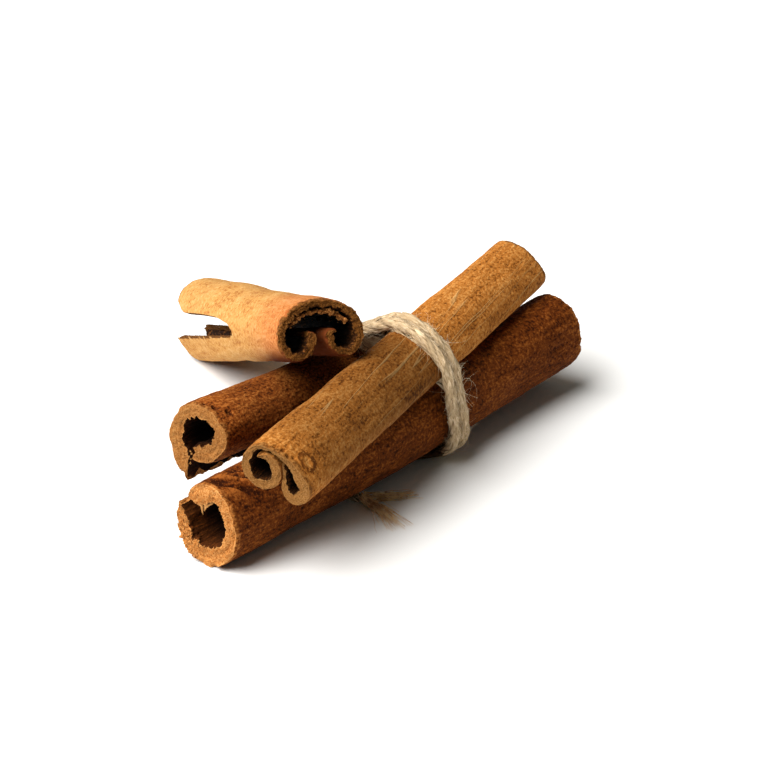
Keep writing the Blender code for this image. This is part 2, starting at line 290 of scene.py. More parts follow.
class Roll:
    """How a flat sheet lies once it is rolled: an axis, and the line of the sheet at both ends."""

    def __init__(
        self, axis, line, outside, inside, far_line=None, outward=1,
        far_scale=(1.0, 1.0), roll=0.0, twist=0.0, bow=0.0, lean=0.0,
    ):
        self.near, self.far = np.array(axis[0]), np.array(axis[1])
        self.length = np.linalg.norm(self.far - self.near)
        self.along = (self.far - self.near) / self.length
        right = np.cross(self.along, (0, 0, 1))
        self.right = right / np.linalg.norm(right)
        self.up = np.cross(self.right, self.along)
        self.near_line, self.far_line = line, line if far_line is None else far_line
        steps = np.linalg.norm(np.diff(line, axis=0), axis=1)
        self.reach = np.concatenate([[0], np.cumsum(steps)])
        self.width = self.reach[-1]
        self.outside, self.inside, self.outward = side_reach(outside), side_reach(inside), outward
        self.far_scale, self.roll, self.twist, self.bow, self.lean = far_scale, roll, twist, bow, lean

    def flat(self, across, share):
        """Line and outward direction at a distance across the sheet and a share of the length."""
        spots, ends = [], []
        for line in (self.near_line, self.far_line):
            directions = np.gradient(line, axis=0)
            spots.append(np.stack([np.interp(across, self.reach, line[:, k]) for k in (0, 1)], axis=1))
            ends.append(np.stack([np.interp(across, self.reach, directions[:, k]) for k in (0, 1)], axis=1))
        share = share[:, None]
        spot = spots[0] * (1 - share) + spots[1] * share
        ahead = ends[0] * (1 - share) + ends[1] * share
        ahead /= np.linalg.norm(ahead, axis=1)[:, None]
        return spot, np.stack([-ahead[:, 1], ahead[:, 0]], axis=1) * self.outward

    def place(self, across, share, depth, lift=0.0, shift=0.0):
        """Points of the rolled sheet. Depth is 1 on the outside and 0 on the inside; lift is outwards."""
        bounded = np.clip(share, 0, 1)
        spot, out = self.flat(across, bounded)
        outside = np.interp(across / self.width, SIDE_STOPS, self.outside)
        inside = np.interp(across / self.width, SIDE_STOPS, self.inside)
        flat = spot + out * (depth * outside - (1 - depth) * inside + lift)[:, None]
        waver = 1 + 0.018 * np.sin(9.0 * share + self.roll + 1.0) + 0.01 * np.sin(21.0 * share)
        flat = flat * waver[:, None]
        across_axis = flat[:, 0] * (1 + (self.far_scale[0] - 1) * share)
        up_axis = flat[:, 1] * (1 + (self.far_scale[1] - 1) * share)
        turn = np.radians(self.roll + self.twist * share)
        right = across_axis * np.cos(turn) - up_axis * np.sin(turn)
        rise = across_axis * np.sin(turn) + up_axis * np.cos(turn)
        ahead = share * self.length + shift + self.lean * share * rise
        right = right + self.bow * 4 * share * (1 - share)
        places = np.outer(ahead, self.along) + np.outer(right, self.right) + np.outer(rise, self.up)
        return self.near + places + CENTRED

    def outline(self, share, count=160):
        """Both sides of the sheet at one share of the length."""
        across = np.linspace(0, self.width, count)
        across = np.concatenate([across, across[::-1]])
        depth = np.repeat([1.0, 0.0], count)
        return self.place(across, np.full(2 * count, share), depth)


CENTRED = np.zeros(3)

front = Roll(
    FRONT_AXIS, front_roll(), FRONT_OUTSIDE, FRONT_INSIDE,
    outward=-1, far_scale=(1.04, 0.94), roll=-4, bow=0.8,
)
back = Roll(BACK_AXIS, back_roll(), BACK_OUTSIDE, BACK_INSIDE, outward=-1, far_scale=(0.92, 0.93), twist=-4)
top = Roll(TOP_AXIS, top_roll(), TOP_OUTSIDE, TOP_INSIDE, far_scale=(0.85, 0.91), twist=6)
loose = Roll(
    LOOSE_AXIS, loose_roll(LOOSE_NEAR), LOOSE_OUTSIDE, LOOSE_INSIDE,
    far_line=loose_roll(LOOSE_FAR, LOOSE_FAR_TIP_RISE), lean=LOOSE_FAR_LEAN,
)
layer = Roll(
    LOOSE_AXIS, inner_arch(LOOSE_NEAR), INNER_LAYER_SIDE, INNER_LAYER_SIDE, inner_arch(LOOSE_FAR),
    outward=-1, lean=LOOSE_FAR_LEAN,
)

# The stack was centred as a whole: its shift is read from where the front stick's box is.
low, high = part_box("front_stick")
ends = np.concatenate([front.outline(share) for share in np.linspace(0, 1, 13)])
CENTRED[:2] = (np.array(low + high)[:2] / MM - ends.min(0)[:2] - ends.max(0)[:2]) / 2


def deselect():
    bpy.ops.object.select_all(action="DESELECT")


def unit_grid(across, along):
    """A flat grid that runs from 0 to 1 both ways."""
    bpy.ops.mesh.primitive_grid_add(
        x_subdivisions=across, y_subdivisions=along, size=1, location=(0.5, 0.5, 0)
    )
    bpy.ops.object.transform_apply(location=True)
    return bpy.context.object


def flat_sheet(name, across, along, layers, missing=None):
    """A closed flat slab, 1 by 1 by 1, cut fine enough to be rolled; missing picks faces to leave out."""
    deselect()
    made = unit_grid(across, along)
    made.name = name
    bpy.ops.object.mode_set(mode="EDIT")
    if missing:
        shape = bmesh.from_edit_mesh(made.data)
        for face in shape.faces:
            middle = face.calc_center_median()
            face.select_set(missing(middle.x, middle.y))
        bmesh.update_edit_mesh(made.data)
        bpy.ops.mesh.delete(type="FACE")
    bpy.ops.mesh.select_all(action="SELECT")
    bpy.ops.mesh.extrude_region_move(TRANSFORM_OT_translate={"value": (0, 0, 1)})
    bpy.ops.mesh.select_mode(type="EDGE")
    bpy.ops.mesh.select_all(action="DESELECT")
    shape = bmesh.from_edit_mesh(made.data)
    for edge in shape.edges:
        edge.select_set(abs(edge.verts[0].co.z - edge.verts[1].co.z) > 0.5)
    bmesh.update_edit_mesh(made.data)
    bpy.ops.mesh.subdivide(number_cuts=layers - 1)
    bpy.ops.object.mode_set(mode="OBJECT")
    return made


def corners(thing):
    found = np.zeros(len(thing.data.vertices) * 3)
    thing.data.vertices.foreach_get("co", found)
    return found.reshape(-1, 3)


def move_corners(thing, places):
    thing.data.vertices.foreach_set("co", places.ravel())
    thing.data.update()


def mark(thing, name, values, domain="POINT"):
    """Keeps values on the mesh for its material."""
    kind, key = ("FLOAT_VECTOR", "vector") if values.ndim == 2 else ("FLOAT", "value")
    thing.data.attributes.new(name, kind, domain).data.foreach_set(key, values.ravel())


def face_depth(thing):
    """The mean height of each face in the flat sheet."""
    depth = corners(thing)[:, 2]
    return np.array([depth[list(face.vertices)].mean() for face in thing.data.polygons])


def spread_along(share, evenness=0.3):
    """Rows stand closer together towards both ends."""
    return evenness * share + (1 - evenness) * (0.5 - 0.5 * np.cos(math.pi * share))


def face_outwards(thing):
    deselect()
    bpy.context.view_layer.objects.active = thing
    thing.select_set(True)
    bpy.ops.object.mode_set(mode="EDIT")
    bpy.ops.mesh.select_all(action="SELECT")
    bpy.ops.mesh.normals_make_consistent(inside=False)
    bpy.ops.object.mode_set(mode="OBJECT")


def rolled(name, roll, shape_of, across, along, layers, start=0.0, stop=1.0, missing=None, columns=None):
    """A sheet of bark, roughened by shape_of and rolled up. Columns says where its columns lie across it."""
    thing = flat_sheet(name, across, along, layers, missing)
    flat = corners(thing)
    depth_of_face = face_depth(thing)
    share = start + (stop - start) * spread_along(flat[:, 1])
    depth = np.round(flat[:, 2] * layers) / layers  # Blender's own rounding can change
    distance = flat[:, 0] * roll.width
    if columns:
        distance = columns(share, flat[:, 0])
    length = share * roll.length
    relief = shape_of(roll, distance, length, depth, start * roll.length, stop * roll.length)
    places = roll.place(distance + relief["aside"], share, depth, relief["lift"], relief["ahead"])
    places[:, 2] = np.maximum(places[:, 2], 0.02)
    move_corners(thing, places * MM)
    mark(thing, "grain", np.stack([distance, length, depth], axis=1))
    mark(thing, "relief", relief["tone"])
    mark(thing, "rim", relief["rim"])
    mark(thing, "side", np.minimum(distance, roll.width - distance))
    mark(thing, "cut", ((depth_of_face > 0.01) & (depth_of_face < 0.99)).astype(float), "FACE")
    mark(thing, "inside", (depth_of_face < 0.01).astype(float), "FACE")
    face_outwards(thing)
    bpy.ops.object.shade_smooth_by_angle(angle=math.radians(50))
    return thing


# Where the marks near the near cuts lie on the flat sheets: across and along, in millimetres. The front
# stick's places across are shares of its width.
SCAR_AT, SCAR_SIZE = (0.82, 4.2), (0.07, 3.0)
CRUMBLED_AT, CRUMBLED_SIZE = 0.17, 0.06
BACK_PITS = ((14.4, 1.2), (16.2, 0.9), (12.9, 2.6))
KNOT_AT, KNOT_SIZE = (21.8, 2.6), (1.1, 1.0)
TOP_PITS = ((17.5, 0.7), (18.6, 0.9), (19.6, 0.5), (20.3, 1.1))
EDGE_ROUND = 0.12  # how far the edges of a cut are rounded off


def pit(distance, length, at, size, depth_of):
    """A small round pit in the bark."""
    away = ((distance - at[0]) / size[0]) ** 2 + ((length - at[1]) / size[1]) ** 2
    return -depth_of * np.exp(-away * 1.5)


def front_scar(roll, distance, length, depth, found):
    """Torn bark behind the cut, over the front stick's shoulder, and a crumbled stretch of the cut."""
    run = distance / roll.width
    scar = bell(run, SCAR_AT[0], SCAR_SIZE[0]) * bell(length, SCAR_AT[1], SCAR_SIZE[1]) * depth
    slant = np.stack([distance + 0.8 * length, 0.25 * (length - distance), np.zeros(len(length))], axis=1)
    gouge = rough(slant, (0.7, 1.0, 1), 19, 3)
    found["lift"] += scar * (gouge * 0.75 - 0.2)
    found["tone"] += scar * (gouge * 16 + 1)
    crumbled = bell(run, CRUMBLED_AT, CRUMBLED_SIZE) * found["rim"]
    lump = rough(np.stack([distance, length, depth * 2], axis=1), (0.45, 0.5, 0.5), 20, 2)
    found["ahead"] -= crumbled * np.abs(lump) * 0.5
    found["lift"] += crumbled * lump * 0.3 * (2 * depth - 1)


def back_pits(roll, distance, length, depth, found):
    for at in BACK_PITS:
        found["lift"] += depth * pit(distance, length, at, (0.45, 0.4), 0.6)
        found["tone"] += depth * pit(distance, length, at, (0.55, 0.5), 8)


def top_knot(roll, distance, length, depth, found):
    """A healed knot and pits near the top stick's cut."""
    ring = np.hypot((distance - KNOT_AT[0]) / KNOT_SIZE[0], (length - KNOT_AT[1]) / KNOT_SIZE[1])
    found["lift"] += depth * 0.14 * (bell(ring, 0.8, 0.35) - 0.9 * bell(ring, 0.0, 0.5))
    found["tone"] += depth * (6.0 * bell(ring, 0.1, 0.6) - 6.0 * bell(ring, 1.15, 0.3))
    for at in TOP_PITS:
        found["lift"] += depth * pit(distance, length, at, (0.3, 0.3), 0.4)
        found["tone"] += depth * pit(distance, length, at, (0.4, 0.4), 7)


def bark_relief(
    seed, lumps=0.12, grain=0.05, ragged=0.25, chips=0.3, rings=0.06, inner=0.07, hollow=0.2, torn=0.3,
    detail=None,
):
    """Relief of one stick: lumps and grain on the bark, broken ends, and layers in the cut.

    Returns a function of where each corner is on the flat sheet. What it finds is how far the corner moves
    out of the sheet, along it and across it, how light it is, and how close it is to a cut end.
    """

    def shape_of(roll, distance, length, depth, first, last):
        spot = np.stack([distance, length, depth * 2], axis=1)
        inmost = 1 - depth
        swell = rough(spot, (3.2, 6.0, 50), seed, 2) * lumps
        wrinkle = rough(spot, (0.7, 2.6, 50), seed + 1, 3) * grain
        pores = rough(spot, (0.32, 0.6, 50), seed + 2, 2) * grain * 0.8
        fibre = rough(spot, (0.3, 4.0, 50), seed + 3, 2) * inner
        lift = depth * (swell + wrinkle + pores) + inmost * (swell * 0.5 + fibre)
        tone = np.clip((depth * (wrinkle + pores) + inmost * fibre) / grain, -1.5, 1.5)

        near, far = length - first, last - length
        from_end = np.minimum(near, far)
        side = np.where(near < far, 1.0, -1.0)
        cut = np.stack([distance, depth * 2.0, side * 7], axis=1)
        broken = rough(cut, (1.6, 0.9, 1), seed + 4, 2) * ragged
        crumbs = rough(cut, (0.33, 0.3, 1), seed + 5, 2) * ragged * 0.6
        ridges = np.sin(depth * 16 + rough(cut, (2.5, 1.0, 1), seed + 6, 1) * 2.5) * rings
        nibbled = np.clip(rough(cut, (0.9, 0.5, 1), seed + 7, 2) - 0.25, 0, 1) * chips * 2
        nibbled = nibbled * (0.4 + 0.6 * np.abs(2 * depth - 1))
        ahead = side * (broken + crumbs + ridges + nibbled + ragged * 0.4) * fade(from_end, 1.8)
        lift = lift - (2 * depth - 1) * EDGE_ROUND * fade(from_end, 0.35) ** 2
        rim_bite = np.stack([distance, side * 5, depth * 3], axis=1)
        lift = lift + inmost * rough(rim_bite, (0.8, 1, 50), seed + 9, 3) * hollow * fade(from_end, 1.2)
        chipped = np.clip(rough(rim_bite, (0.7, 1, 50), seed + 10, 2), 0, 1) * 0.3 * chips
        lift = lift - depth * chipped * fade(from_end, 0.7)

        from_side = np.minimum(distance, roll.width - distance)
        edge_run = np.stack([length, depth * 2.0, distance * 0.05], axis=1)
        inward = np.where(distance < roll.width / 2, 1.0, -1.0)
        aside = inward * (rough(edge_run, (1.1, 0.8, 50), seed + 8, 3) + 0.5) * torn * fade(from_side, 1.2)
        found = {"lift": lift, "ahead": ahead, "aside": aside, "tone": tone, "rim": fade(from_end, 2.0)}
        if detail:
            detail(roll, distance, length, depth, found)
        return found

    return shape_of


# Materials.


def paint(red, green, blue):
    """A colour as given, in the linear values that the shader takes."""
    values = [channel / 255 for channel in (red, green, blue)]
    return tuple(v / 12.92 if v <= 0.04045 else ((v + 0.055) / 1.055) ** 2.4 for v in values) + (1.0,)


# Painted shade: near-black inside a roll away from its open ends, where little light gets in, partly also the
# inner bark's own dark colour.
HOLLOW_SHADE = paint(9, 4, 2)  # deep inside a stick


class Value:
    """A number that changes over a surface. A sum on it adds its Math node."""

    def __init__(self, look, socket):
        self.look, self.socket = look, socket

    def math(self, operation, *others):
        return self.look.add("ShaderNodeMath", {"operation": operation}, dict(enumerate((self, *others))))

    def flipped(self, operation, other):
        return self.look.add("ShaderNodeMath", {"operation": operation}, {0: other, 1: self})

    def __add__(self, other):
        return self.math("ADD", other)

    __radd__ = __add__

    def __sub__(self, other):
        return self.math("SUBTRACT", other)

    def __rsub__(self, other):
        return self.flipped("SUBTRACT", other)

    def __mul__(self, other):
        return self.math("MULTIPLY", other)

    __rmul__ = __mul__

    def clear(self, start, stop):
        """0 below start, 1 above stop, smooth between."""
        sockets = {0: self, 1: start, 2: stop, 3: 0.0, 4: 1.0}
        return self.look.add("ShaderNodeMapRange", {"interpolation_type": "SMOOTHSTEP"}, sockets)


class Look:
    """A material and its nodes."""

    def __init__(self, name, roughness=0.8, **fixed):
        self.material = bpy.data.materials.new(name)
        self.material.use_nodes = True
        self.tree = self.material.node_tree
        self.shader = self.tree.nodes["Principled BSDF"]
        self.shader.inputs["Roughness"].default_value = roughness
        for socket, value in fixed.items():
            self.shader.inputs[socket.replace("_", " ")].default_value = value

    def add(self, kind, settings=None, sockets=None, out=0):
        node = self.tree.nodes.new(kind)
        for name, value in (settings or {}).items():
            setattr(node, name, value)
        for key, value in (sockets or {}).items():
            self.feed(self.find(node, key), value)
        return Value(self, node.outputs[out])

    def find(self, node, key):
        if isinstance(key, int):
            return node.inputs[key]
        return next(s for s in node.inputs if key in (s.identifier, s.name))

    def feed(self, socket, value):
        if isinstance(value, Value):
            self.tree.links.new(value.socket, socket)
        else:
            socket.default_value = value

    def kept(self, name, vector=False):
        """What was marked on the mesh."""
        return self.add("ShaderNodeAttribute", {"attribute_name": name}, out=1 if vector else 2)

    def parts(self, vector):
        node = self.add("ShaderNodeSeparateXYZ", None, {0: vector}).socket.node
        return [Value(self, socket) for socket in node.outputs]

    def vector(self, x, y, z):
        return self.add("ShaderNodeCombineXYZ", None, {0: x, 1: y, 2: z})

    def noise(self, vector, scale=1.0, detail=2.0, rough=0.5, bend=0.0):
        return self.add(
            "ShaderNodeTexNoise",
            None,
            {"Vector": vector, "Scale": scale, "Detail": detail, "Roughness": rough, "Distortion": bend},
        )

    def mix(self, first, second, share, blend="MIX"):
        return self.add(
            "ShaderNodeMix",
            {"data_type": "RGBA", "blend_type": blend},
            {"Factor_Float": share, "A_Color": first, "B_Color": second},
            out=2,
        )

    def finish(self, colour, height=None, depth=0.0001, rough=None):
        self.feed(self.shader.inputs["Base Color"], colour)
        if rough is not None:
            self.feed(self.shader.inputs["Roughness"], rough)
        if height is not None:
            bump = self.add("ShaderNodeBump", None, {"Strength": 1.0, "Distance": depth, "Height": height})
            self.feed(self.shader.inputs["Normal"], bump)
        return self.material


# Colours are mixed in this order: the bark's outside, the side within the roll, and the cut faces.


def veined(look, across, along, outer, vein, strength):
    """Long pale veins that wander along the bark, from some way behind the near cut.

    Returns the bark's colour and the veins' ridges.
    """
    wander = look.noise(look.vector(across * 0.2, along * 0.06, 4.0), 1.0, 1.0)
    lane = across * 0.5 + along * 0.028 + wander * 0.8
    line = look.noise(look.vector(lane, along * 0.012, 2.0), 1.0, 1.0, 0.4)
    ridge = 1.0 - (line - 0.5).math("ABSOLUTE").clear(0.002, 0.014)
    broken = look.noise(look.vector(across * 0.4, along * 0.045, 7.0), 1.0, 2.0).clear(0.36, 0.54)
    ridge = ridge * broken * along.clear(9.0, 17.0)
    return look.mix(outer, vein, ridge * strength), ridge


def painted_shade_before_tie(look, along, patches, outer, shade):
    """Painted shade: bark darkened from behind the near cut up to the tie, where the sticks above shade it,
    partly also the bark's own browner colour there; lighter beyond it.
    """
    lighter = (along + patches * 8.0).clear(42.0, 50.0) + (1.0 - along.clear(1.5, 8.0)) * 0.55
    lighter = lighter + (1.0 - along.clear(6.0, 34.0)) * 0.34
    return look.mix(look.mix(outer, (shade, shade, shade, 1.0), 1.0, "MULTIPLY"), outer, lighter)


def redder(look, along, patches, outer):
    """Redder bark towards the near cut."""
    towards_cut = 1.0 - (along + patches * 8.0).clear(6.0, 26.0)
    return look.mix(outer, look.mix(outer, (0.98, 0.72, 0.72, 1.0), 1.0, "MULTIPLY"), towards_cut)


def tucked_under(look, along, outer, colour):
    """Darker bark where the sheet's edges are rolled in, over a wider band near the cut."""
    side = look.kept("side")
    rolled_in = 1.0 - (side + along.clear(5.0, 20.0) * 2.8).clear(6.0, 8.2)
    return look.mix(outer, colour, rolled_in)


def cut_face(look, across, along, depth, relief, deep, body, light):
    """A crumbly, faintly layered cut. Returns its colour and its height."""
    crumb = look.noise(look.vector(across * 4.2, along * 3.0, depth * 9.0), 1.0, 3.0, 0.78)
    layers = look.noise(look.vector(across * 0.22, along * 0.3, depth * 8.0), 1.0, 2.0, 0.5, 0.15)
    face = look.mix(deep, body, (crumb * 0.85 + layers * 0.15).clear(0.36, 0.49))
    face = look.mix(face, light, (crumb * 0.75 + layers * 0.25).clear(0.49, 0.6) * 0.9)
    edge_line = depth.clear(0.9, 0.99) + (1.0 - depth).clear(0.92, 0.99)
    face = look.mix(face, light, edge_line * 0.45 + relief.clear(1.5, 4.0) * 0.8)
    face = look.mix(face, deep, (0.0 - relief).clear(1.5, 4.0) * 0.8)
    return face, crumb * 1.5 + layers * 0.2


def bark(
    name, deep, body, light, cut_deep, cut_body, cut_light, within,
    dark_from=(0.2, 3.0), dark_until=(60.0, 70.0), tucked=None, near_orange=False,
    veins=0.0, vein=None, near_shade=1.0, flecked=0.8, grain=0.38, bump=0.00016,
):
    """Bark: grains of cork on a fibrous ground, with painted shade within the roll over the inner bark's own
    dark colour, crumbly and layered where it is cut.
    """
    look = Look(name, 0.85, Specular_IOR_Level=0.06)
    across, along, depth = look.parts(look.kept("grain", vector=True))
    cut, inside = look.kept("cut"), look.kept("inside")
    relief, rim = look.kept("relief"), look.kept("rim")

    slant = across + along * 0.06
    grains = look.noise(look.vector(slant * (1 / grain), along * (0.75 / grain), depth), 1.0, 3.0, 0.7)
    flecks = look.noise(look.vector(across * 3.0, along * 2.3, depth + 3.0), 1.0, 2.0, 0.6)
    leaning = along * 0.7 - across * 0.3
    clumps = look.noise(look.vector(slant * 1.15, leaning, depth + 7.0), 1.0, 2.0, 0.6, 0.4)
    fibres = look.noise(look.vector(slant * 1.7, along * 0.14, depth + 5.0), 1.0, 3.0, 0.6)
    patches = look.noise(look.vector(across * 0.26, along * 0.15, depth + 9.0), 1.0, 3.0, 0.55, 0.5)

    tone = grains * 0.5 + clumps * 0.16 + fibres * 0.16 + patches * 0.18 + relief * 0.02
    outer = look.mix(deep, body, tone.clear(0.4, 0.5))
    outer = look.mix(outer, light, tone.clear(0.5, 0.6) * 0.8)
    outer = look.mix(outer, light, flecks.clear(0.58, 0.7) * 0.55)
    outer = look.mix(outer, deep, (1.0 - flecks).clear(0.58, 0.7) * flecked)
    height = grains * 0.9 + flecks * 0.6 + clumps * 0.8 + fibres * 0.3
    if veins:
        outer, ridge = veined(look, across, along, outer, vein, veins)
        height = height + ridge * 0.4
    # Painted shade over the stretch up to the tie.
    if near_shade < 1:
        outer = painted_shade_before_tie(look, along, patches, outer, near_shade)
    if near_orange:
        outer = redder(look, along, patches, outer)
    worn = (rim * 0.5 + clumps * 0.6).clear(0.6, 0.8)
    outer = look.mix(outer, look.mix(cut_deep, cut_body, grains.clear(0.4, 0.6)), worn * 0.8)
    if tucked:
        outer = tucked_under(look, along, outer, tucked)

    inner_fibres = look.noise(look.vector(across * 3.0, along * 0.6, depth), 1.0, 3.0, 0.65)
    inner = look.mix(deep, within, inner_fibres.clear(0.3, 0.5))
    inner = look.mix(inner, cut_deep, inner_fibres.clear(0.5, 0.72))
    # Painted shade inside the roll, from dark_from to dark_until along it, over the inner bark's own dark
    # colour.
    painted_hollow_shade = along.clear(*dark_from) * (1.0 - along.clear(*dark_until))
    inner = look.mix(inner, HOLLOW_SHADE, painted_hollow_shade * 0.92)

    face, face_height = cut_face(look, across, along, depth, relief, cut_deep, cut_body, cut_light)
    colour = look.mix(look.mix(outer, inner, inside), face, cut)
    return look.finish(colour, height * (1.0 - cut) + face_height * cut, bump)


def twine_look(name, deep, body, light):
    look = Look(name, 0.9, Specular_IOR_Level=0.2)
    round_ply, along, ply = look.parts(look.kept("grain", vector=True))
    hairs = look.noise(look.vector(round_ply * 2.2 + along * 2.0, along * 0.45, ply * 5.0), 1.0, 3.0, 0.65)
    patches = look.noise(look.vector(ply * 3.0, along * 0.25, 1.0), 1.0, 2.0)
    colour = look.mix(deep, body, hairs.clear(0.3, 0.52))
    colour = look.mix(colour, light, (hairs * 0.7 + patches * 0.3).clear(0.5, 0.66))
    return look.finish(colour, hairs, 0.00012)


def hair_look(name, deep, light):
    look = Look(name, 0.85, Specular_IOR_Level=0.3)
    place = look.add("ShaderNodeTexCoord", out=3)
    streaks = look.noise(place, 900.0, 2.0, 0.6)
    return look.finish(look.mix(deep, light, streaks.clear(0.35, 0.65)))


# Sticks.


def dress(thing, material, node):
    thing.data.materials.clear()
    thing.data.materials.append(material)
    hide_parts(node)
    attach(thing, "root")


dark_bark = bark(
    "dark_bark",
    deep=paint(42, 14, 2), body=paint(93, 43, 8), light=paint(148, 84, 32),
    cut_deep=paint(112, 58, 18), cut_body=paint(178, 113, 54), cut_light=paint(202, 148, 88),
    within=paint(65, 32, 8), dark_from=(0.8, 6.0), flecked=0.7,
)
brown_bark = bark(
    "brown_bark",
    deep=paint(59, 23, 4), body=paint(131, 67, 21), light=paint(192, 121, 55),
    cut_deep=paint(90, 48, 15), cut_body=paint(150, 97, 47), cut_light=paint(172, 124, 70),
    within=paint(29, 12, 3), near_shade=0.5, flecked=0.6,
)
golden_bark = bark(
    "golden_bark",
    deep=paint(100, 54, 14), body=paint(168, 103, 40), light=paint(206, 146, 78),
    cut_deep=paint(82, 47, 17), cut_body=paint(135, 90, 44), cut_light=paint(159, 117, 68),
    within=paint(24, 10, 3), veins=0.55, vein=paint(212, 172, 112), near_shade=0.47, flecked=0.45, grain=0.4,
)
pale_bark = bark(
    "pale_bark",
    deep=paint(150, 92, 42), body=paint(183, 134, 72), light=paint(199, 159, 104),
    cut_deep=paint(43, 21, 6), cut_body=paint(93, 54, 16), cut_light=paint(145, 95, 45),
    within=paint(46, 23, 6), dark_from=(0.3, 5.0), dark_until=(20.0, 34.0), tucked=paint(96, 46, 18),
    near_orange=True, flecked=0.5, grain=0.36, bump=0.0001,
)
inner_bark = bark(
    "inner_bark",
    deep=paint(36, 17, 5), body=paint(84, 44, 15), light=paint(150, 92, 42),
    cut_deep=paint(36, 17, 4), cut_body=paint(126, 72, 28), cut_light=paint(216, 150, 84),
    within=paint(49, 27, 8),
)

front_relief = bark_relief(
    11, lumps=0.16, grain=0.055, ragged=0.2, chips=0.2, hollow=0.22, detail=front_scar
)
front_piece = rolled("front_bark", front, front_relief, across=230, along=170, layers=10)
dress(front_piece, dark_bark, "front_stick")

back_relief = bark_relief(
    31, lumps=0.14, grain=0.05, ragged=0.12, chips=0.15, hollow=0.3, torn=0.4, detail=back_pits
)
back_piece = rolled("back_bark", back, back_relief, across=240, along=150, layers=12)
dress(back_piece, brown_bark, "back_stick")

top_relief = bark_relief(51, grain=0.045, ragged=0.1, chips=0.12, rings=0.03, hollow=0.12, detail=top_knot)
top_piece = rolled("top_bark", top, top_relief, across=260, along=150, layers=8)
dress(top_piece, golden_bark, "top_stick")


# Fibres, crumbs and slivers.


def threads(name, routes):
    """Fine fibres along routes of (place in millimetres, thickness) as one mesh."""
    line = bpy.data.curves.new(name, "CURVE")
    line.dimensions = "3D"
    line.bevel_depth = 0.5 * MM
    line.bevel_resolution = 0
    line.use_fill_caps = True
    for route in routes:
        spline = line.splines.new("POLY")
        spline.points.add(len(route) - 1)
        for point, (x, y, z, thick) in zip(spline.points, route):
            point.co = (x * MM, y * MM, max(z, thick / 2) * MM, 1)
            point.radius = thick
    thing = bpy.data.objects.new(name, line)
    bpy.context.collection.objects.link(thing)
    deselect()
    thing.select_set(True)
    bpy.context.view_layer.objects.active = thing
    bpy.ops.object.convert(target="MESH")
    bpy.ops.object.shade_smooth()
    return bpy.context.object


CRUMB_TONE = 3.0  # how far crumbs differ in tone


def crumbs(name, piece, bands, seed):
    """Crumbs that cling to a piece's near cut face.

    A band is the first and the last share of the width, how many crumbs there are, and their size.
    """
    deselect()
    bpy.ops.mesh.primitive_ico_sphere_add(subdivisions=1, radius=1)
    model = bpy.context.object
    model.data.name = name
    shape = corners(model)
    faces = np.array([list(face.vertices) for face in model.data.polygons])
    bpy.data.objects.remove(model)
    draw = np.random.default_rng(seed)
    surface = corners(piece) / MM
    grain = np.zeros(len(surface) * 3)
    piece.data.attributes["grain"].data.foreach_get("vector", grain)
    grain = grain.reshape(-1, 3)
    on_cut = grain[:, 1] < grain[:, 1].min() + 0.02
    width = grain[:, 0].max()
    places, triangles, grains, tones = [], [], [], []
    for first, last, count, size in bands:
        in_band = on_cut & (grain[:, 0] >= first * width) & (grain[:, 0] <= last * width)
        chosen_from = np.flatnonzero(in_band)
        chosen_from = chosen_from[np.lexsort(grain[chosen_from].T)]  # Blender's own order can change
        for spot in draw.choice(chosen_from, count):
            radii = size * draw.uniform(0.35, 1.0) * draw.uniform(0.6, 1.3, 3)
            lump = shape * (1 + draw.uniform(-0.3, 0.3, (len(shape), 1)))
            triangles.append(faces + len(shape) * len(places))
            places.append(surface[spot] + lump * radii)
            grains.append(grain[spot] + lump * 0.2)
            tones.append(np.full(len(shape), draw.uniform(-CRUMB_TONE, CRUMB_TONE)))
    mesh = bpy.data.meshes.new(name)
    places = np.concatenate(places)
    places[:, 2] = np.maximum(places[:, 2], 0.02)
    mesh.from_pydata((places * MM).tolist(), [], np.concatenate(triangles).tolist())
    thing = bpy.data.objects.new(name, mesh)
    bpy.context.collection.objects.link(thing)
    mark(thing, "grain", np.concatenate(grains))
    mark(thing, "relief", np.concatenate(tones))
    mark(thing, "cut", np.ones(len(mesh.polygons)), "FACE")
    return thing


def cling(thing, material):
    thing.data.materials.append(material)
    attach(thing, "root")


def torn_fibres(name, roll, teeth):
    """Slivers that hang from a cut edge.

    A tooth is its share of the width, its depth, how far to the right and up its tip is, and its width.
    """
    routes = []
    for share, depth, right, up, wide in teeth:
        start = roll.place(np.array([share * roll.width]), np.array([0.006]), np.array([depth]))[0]
        tip = start + roll.right * right + roll.up * up - roll.along * 0.25
        route = []
        for k in range(6):
            part = k / 5
            spot = start + (tip - start) * part + roll.right * 0.12 * math.sin(part * 5)
            route.append((*spot, wide * (1 - part) ** 0.7 + 0.04))
        routes.append(route)
    thing = threads(name, routes)
    mark(thing, "grain", corners(thing) / MM)
    mark(thing, "relief", np.full(len(thing.data.vertices), 2.5))
    mark(thing, "cut", np.ones(len(thing.data.polygons)), "FACE")
    return thing


# The loose stick's slot: columns of the sheet follow its two sides, and the faces between them are left out.
LOOSE_COLUMNS = 240
LOOSE_ROWS = 160
SLOT_FIRST, SLOT_LAST = 62, 70  # columns at the slot's lower and upper side
LOBE_ROUND = 3.0
TIP_ROUND = 0.9
RIB_PITCH = 0.6


def slot_sides(share):
    """Where the slot's lower and upper side lie across the sheet, for each share of the length."""
    from_far = (1 - share) * loose.length
    bounded = np.clip(from_far, 0, SLOT_LENGTH)
    heights = [np.interp(bounded, *zip(*side)) for side in (SLOT_BOTTOM, SLOT_TOP)]
    wall = np.linspace(0.2, 0.42, 60) * loose.width
    sides = []
    for height in heights:
        near = np.interp(height, loose.flat(wall, np.zeros(60))[0][:, 1], wall)
        far = np.interp(height, loose.flat(wall, np.ones(60))[0][:, 1], wall)
        sides.append(near * (1 - share) + far * share)
    return sides


